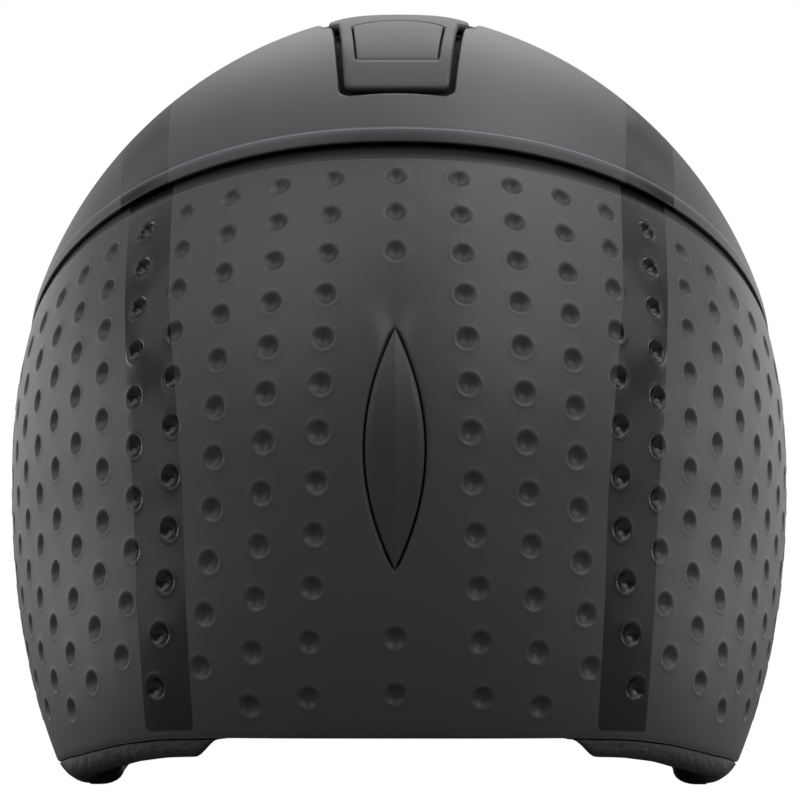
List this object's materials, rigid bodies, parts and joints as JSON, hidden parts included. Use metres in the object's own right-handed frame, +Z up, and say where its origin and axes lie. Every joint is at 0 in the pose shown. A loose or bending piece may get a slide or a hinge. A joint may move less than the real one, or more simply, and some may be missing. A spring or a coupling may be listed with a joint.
{
  "type": "aero helmet",
  "caption": "Closed aero road helmet with a lipped front shell, dimpled tail shell, hinged top port, magnetic eye shield and a dial-driven fit system inside.",
  "frame": {"origin": "centre of the bounding box at the level of the two ear edges, which the helmet rests on", "axes": "+Z up, +Y the way the wearer faces, +X to the wearer's right; the pictured tail faces -Y"},
  "size_m": [0.222, 0.2867, 0.2193],
  "materials": {
    "shell_satin": "satin clear coat over dark grey",
    "insert_satin": "satin",
    "trim": "fine texture",
    "inner_plastic": "matte",
    "pinion_plastic": "matte",
    "foam": "beaded",
    "edge_rubber": "matte",
    "pad_fabric": "knit",
    "webbing": "woven",
    "steel": "plain",
    "lens": "smoked, clear"
  },
  "bodies": {
    "root": {"front_shell": "shell_satin", "rear_shell": "shell_satin", "tail_insert": "insert_satin", "foam_liner": "foam", "port_frame": "trim", "door_hinge_pin": "steel", "port_grille": "inner_plastic", "catch_magnet": "steel", "ear_edge_left": "edge_rubber", "ear_edge_right": "edge_rubber", "brow_pad": "pad_fabric", "crown_pad": "pad_fabric", "rear_pad": "pad_fabric", "side_pad_left": "pad_fabric", "side_pad_right": "pad_fabric", "hanger_guide": "inner_plastic", "strap_anchors": "inner_plastic", "front_strap_left": "webbing", "front_strap_right": "webbing", "rear_strap_left": "webbing", "rear_strap_right": "webbing", "divider_left": "inner_plastic", "divider_right": "inner_plastic", "chin_strap_left": "webbing", "chin_strap_right": "webbing", "chin_pad": "pad_fabric", "strap_keeper": "edge_rubber", "buckle_base": "trim", "buckle_base_magnet": "steel", "brow_magnets": "steel"},
    "port_door": {"port_door": "trim", "door_magnet": "steel"},
    "fit_frame": {"fit_cradle": "inner_plastic", "cradle_pad": "pad_fabric", "fit_hanger": "inner_plastic", "dial_housing": "inner_plastic", "dial_cover": "inner_plastic", "housing_screws": "steel"},
    "dial": {"dial_pinion": "pinion_plastic", "dial_knob": "edge_rubber", "dial_screw": "steel", "click_spring": "steel"},
    "band_left": {"fit_band_left": "inner_plastic"},
    "band_right": {"fit_band_right": "inner_plastic"},
    "buckle_slider": {"buckle_slider": "trim", "buckle_slider_magnet": "steel"},
    "shield": {"shield_lens": "lens", "shield_frame": "trim", "shield_magnets": "steel"}
  },
  "joints": [
    {"name": "port_hinge", "type": "hinge", "parent": "root", "child": "port_door", "pos_m": [0, -0.06178, 0.19992], "axis": [1, 0, 0], "range_deg": [0, 50]},
    {"name": "height_slide", "type": "slide", "parent": "root", "child": "fit_frame", "axis": [0, 0, 1], "range_m": [0, 0.008]},
    {"name": "dial_turn", "type": "hinge", "parent": "fit_frame", "child": "dial", "pos_m": [0, -0.08768, 0.046], "axis": [0, 1, 0], "range_deg": [0, 119.37]},
    {"name": "band_left_slide", "type": "slide", "parent": "fit_frame", "child": "band_left", "axis": [1, 0, 0], "range_m": [0, 0.01]},
    {"name": "band_right_slide", "type": "slide", "parent": "fit_frame", "child": "band_right", "axis": [-1, 0, 0], "range_m": [0, 0.01]},
    {"name": "buckle_release", "type": "slide", "parent": "root", "child": "buckle_slider", "axis": [0, 0, -1], "range_m": [0, 0.012], "deforming": ["chin_strap_right"]},
    {"name": "shield_pull", "type": "slide", "parent": "root", "child": "shield", "axis": [0, 1, 0], "range_m": [0, 0.06]}
  ],
  "couplings": [
    {"joint": "dial_turn", "follows": "band_left_slide", "rad_per_m": 208.33},
    {"joint": "band_right_slide", "follows": "band_left_slide", "ratio": 1}
  ]
}
